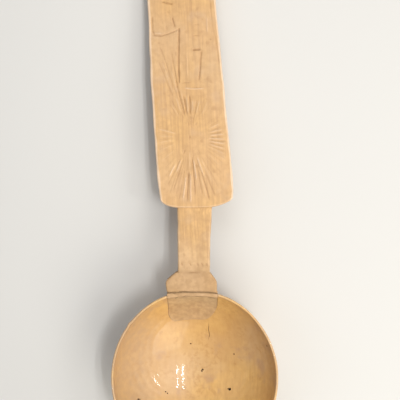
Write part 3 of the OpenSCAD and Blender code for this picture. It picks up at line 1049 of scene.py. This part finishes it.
def buildHandle():
    p, n = panelSizes, neckSizes
    half = [p["width"] / 2, (p["tip"] - p["start"]) / 2, p["thickness"] / 2]
    grid = [edgeStations(h, p["edge"], p[k]) for h, k in zip(half, ("across", "along", "deep"))]
    turn = p["coarseFrom"] - (p["tip"] + p["start"]) / 2
    fine = np.linspace(-half[1] + p["edge"], turn, p["along"] - p["coarse"])
    rough = np.linspace(turn, half[1] - p["edge"], p["coarse"] + 1)[1:]
    grid[1] = np.concatenate((grid[1][:3], fine, rough, grid[1][-3:]))
    panel = boxFromStations("panel", grid, half, p["edge"])
    warp(panel, panelRule)
    print("cutting the sun and the figure")
    sun = pressCuts(panel, sunRays(), sunSettings["width"], sunSettings["depth"], p["face"])
    figure = pressCuts(panel, figureStrokes(), figureSettings["width"], figureSettings["depth"], p["face"])
    neck = softBox("neck", (n["width"], n["to"] - n["from"], n["thickness"]),
                   (n["across"], n["along"], n["deep"]), n["edge"])
    warp(neck, neckRule)
    at = n["nickPlace"]
    nicks = [([(x - 0.7, at + 1.1), (x + 0.7, at - 1.1)], 0.9, 0.8) for x in n["nicks"]]
    nickCuts = pressCuts(neck, nicks, n["nickWidth"], n["nickDepth"], n["top"])
    print("joining the handle")
    collar = combine(collarBlock(), bowlShell("bowlSpace", outGrow=0.12, solid=True), "DIFFERENCE")
    dots = [([(x - 0.1, y), (x + 0.1, y)], 1.0, 0.05) for x, y in collarSizes["dots"]]
    dotCuts = pressCuts(collar, dots, collarSizes["dotWidth"], collarSizes["dotDepth"], 1.05)
    tongue = combine(bowlShell("tongue", outGrow=1.6, solid=True), footBar("foot", top=-0.1), "INTERSECT")
    combine(tongue, footFace(), "DIFFERENCE")
    handle = panel
    handle.name = "handleWood"
    for block in (neck, collar, tongue):
        combine(handle, block, "UNION")
    setMaterials(handle, "handleWood")
    combine(handle, grooveBar(), "DIFFERENCE")
    setMaterials(handle, "handleWood")
    s = crackSettings
    before = vertexArray(handle.data), edgeValues(handle)
    splits = crackCutter("footSplits", handle, s["handlePaths"], s["handleWidth"], s["handleAim"])
    setMaterials(splits, "pitDark")
    combine(handle, splits, "DIFFERENCE")
    cuts = carry(handle, [sun, figure, nickCuts, dotCuts])
    points = vertexArray(handle.data)
    # painted shadow: a dark line along the groove between foot and collar, stored with the cuts
    off = np.abs(points[:, 1] - follow(collarSizes["groove"], points[:, 0]))
    grooveShadow = np.clip(1.0 - off / 1.5, 0, 0.72) * (points[:, 2] > -2)
    storeValues(handle, "cut", np.where(grooveShadow > 0, np.maximum(cuts, grooveShadow), cuts))
    # edge also carries the pale side strip, a painted highlight with wear
    storeValues(handle, "edge", nearest(points, *before) + sideWearAndHighlight(points))
    # painted shade: full on the collar and foot, fading along the neck to the panel
    storeValues(handle, "handled", np.interp(points[:, 1], [66.4, 68.5, 104, 110], [1, 0.5, 0.4, 0.15]))
    radius = np.linalg.norm(points / np.array(jointSizes["face"]), axis=1)
    sunken = np.clip((-0.15 - points[:, 2]) / 0.8, 0, 1)
    sunken *= np.interp(points[:, 2], [-29, -21, -12], [0.3, 0.5, 1])
    storeValues(handle, "endGrain", sunken * (points[:, 1] < 53.2) * np.clip((1.045 - radius) / 0.02, 0, 1))
    finish(handle, 38)
    return handle


print("shaping the bowl")
bowl = buildBowl()
seam = buildSeam()
print("shaping the handle")
handle = buildHandle()
for piece, node, slot in ((bowl, "bowl", "bowl_wood"), (handle, "handle", "handle_wood"),
                          (seam, "glue_seam", "seam_glue")):
    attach(piece, "root")
    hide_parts(node)
    print(piece.name, sum(len(face.vertices) - 2 for face in piece.data.polygons), "triangles")


# Studio: pale floor, soft lights, and two thin strips that the waxed hollow mirrors
studioSettings = {
    "floor": (0.60, 0.595, 0.58), "floorSize": 3.0, "world": 0.25,
    "key": {"place": (500, 110, 560), "size": (900, 900), "power": 2.8, "color": (1.0, 0.94, 0.85)},
    "fill": {"place": (-420, 60, 480), "size": (420, 420), "power": 0.55, "color": (0.92, 0.95, 1.0)},
    "top": {"place": (0, 420, 520), "size": (400, 200), "power": 1.2, "color": (1.0, 0.97, 0.93)},
    "sheen": {"place": (262, -430, 330), "size": (360, 360), "power": 2.0, "color": (1.0, 0.95, 0.84),
              "aim": (-12, 22, -32)},
    "stripLeft": {"place": (168, -10, 755), "size": (8, 300), "power": 1.2, "color": (1, 1, 1),
                  "aim": (-9, 0, -37), "spin": 4},
    "stripRight": {"place": (240, -10, 745), "size": (8, 300), "power": 1.2, "color": (1, 1, 1),
                   "aim": (-9, 0, -37), "spin": -4},
    "stripSide": {"place": (480, -20, 560), "size": (8, 200), "power": 0.55, "color": (1, 1, 1),
                  "aim": (-24, -1, -33), "spin": 62},
}


def addFloor():
    size = studioSettings["floorSize"]
    corners = [(x * size, y * size, 0) for x, y in ((-1, -1), (1, -1), (1, 1), (-1, 1))]
    floor = makeObject("floor", corners, [(0, 1, 2, 3)])
    material, _, shader = plainMaterial("floorPale")
    shader.inputs["Base Color"].default_value = (*studioSettings["floor"], 1.0)
    shader.inputs["Roughness"].default_value = 0.9
    floor.data.materials.append(material)


def addLight(name, s):
    data = bpy.data.lights.new(name, "AREA")
    data.shape = "RECTANGLE"
    data.size, data.size_y = (v * mm for v in s["size"])
    data.energy = s["power"]
    data.color = s["color"]
    light = bpy.data.objects.new(name, data)
    scene.collection.objects.link(light)
    place = levelToWorld @ Vector(s["place"])
    away = (place - levelToWorld @ Vector(s.get("aim", (0, 90, -10)))).normalized()
    across = Vector((0, 1, 0)).cross(away).normalized()
    turned = Matrix((across, away.cross(across), away)).transposed().to_4x4()
    spin = Matrix.Rotation(math.radians(s.get("spin", 0)), 4, "Z")
    light.matrix_world = Matrix.Translation(place) @ turned @ spin


addFloor()
for name in ("key", "fill", "top", "sheen", "stripLeft", "stripRight", "stripSide"):
    addLight(name, studioSettings[name])
world = bpy.data.worlds.new("studio")
scene.world = world
world.use_nodes = True
sky = world.node_tree.nodes["Background"].inputs
sky["Color"].default_value = (1.0, 1.0, 1.0, 1.0)
sky["Strength"].default_value = studioSettings["world"]
scene.view_settings.view_transform = "Standard"
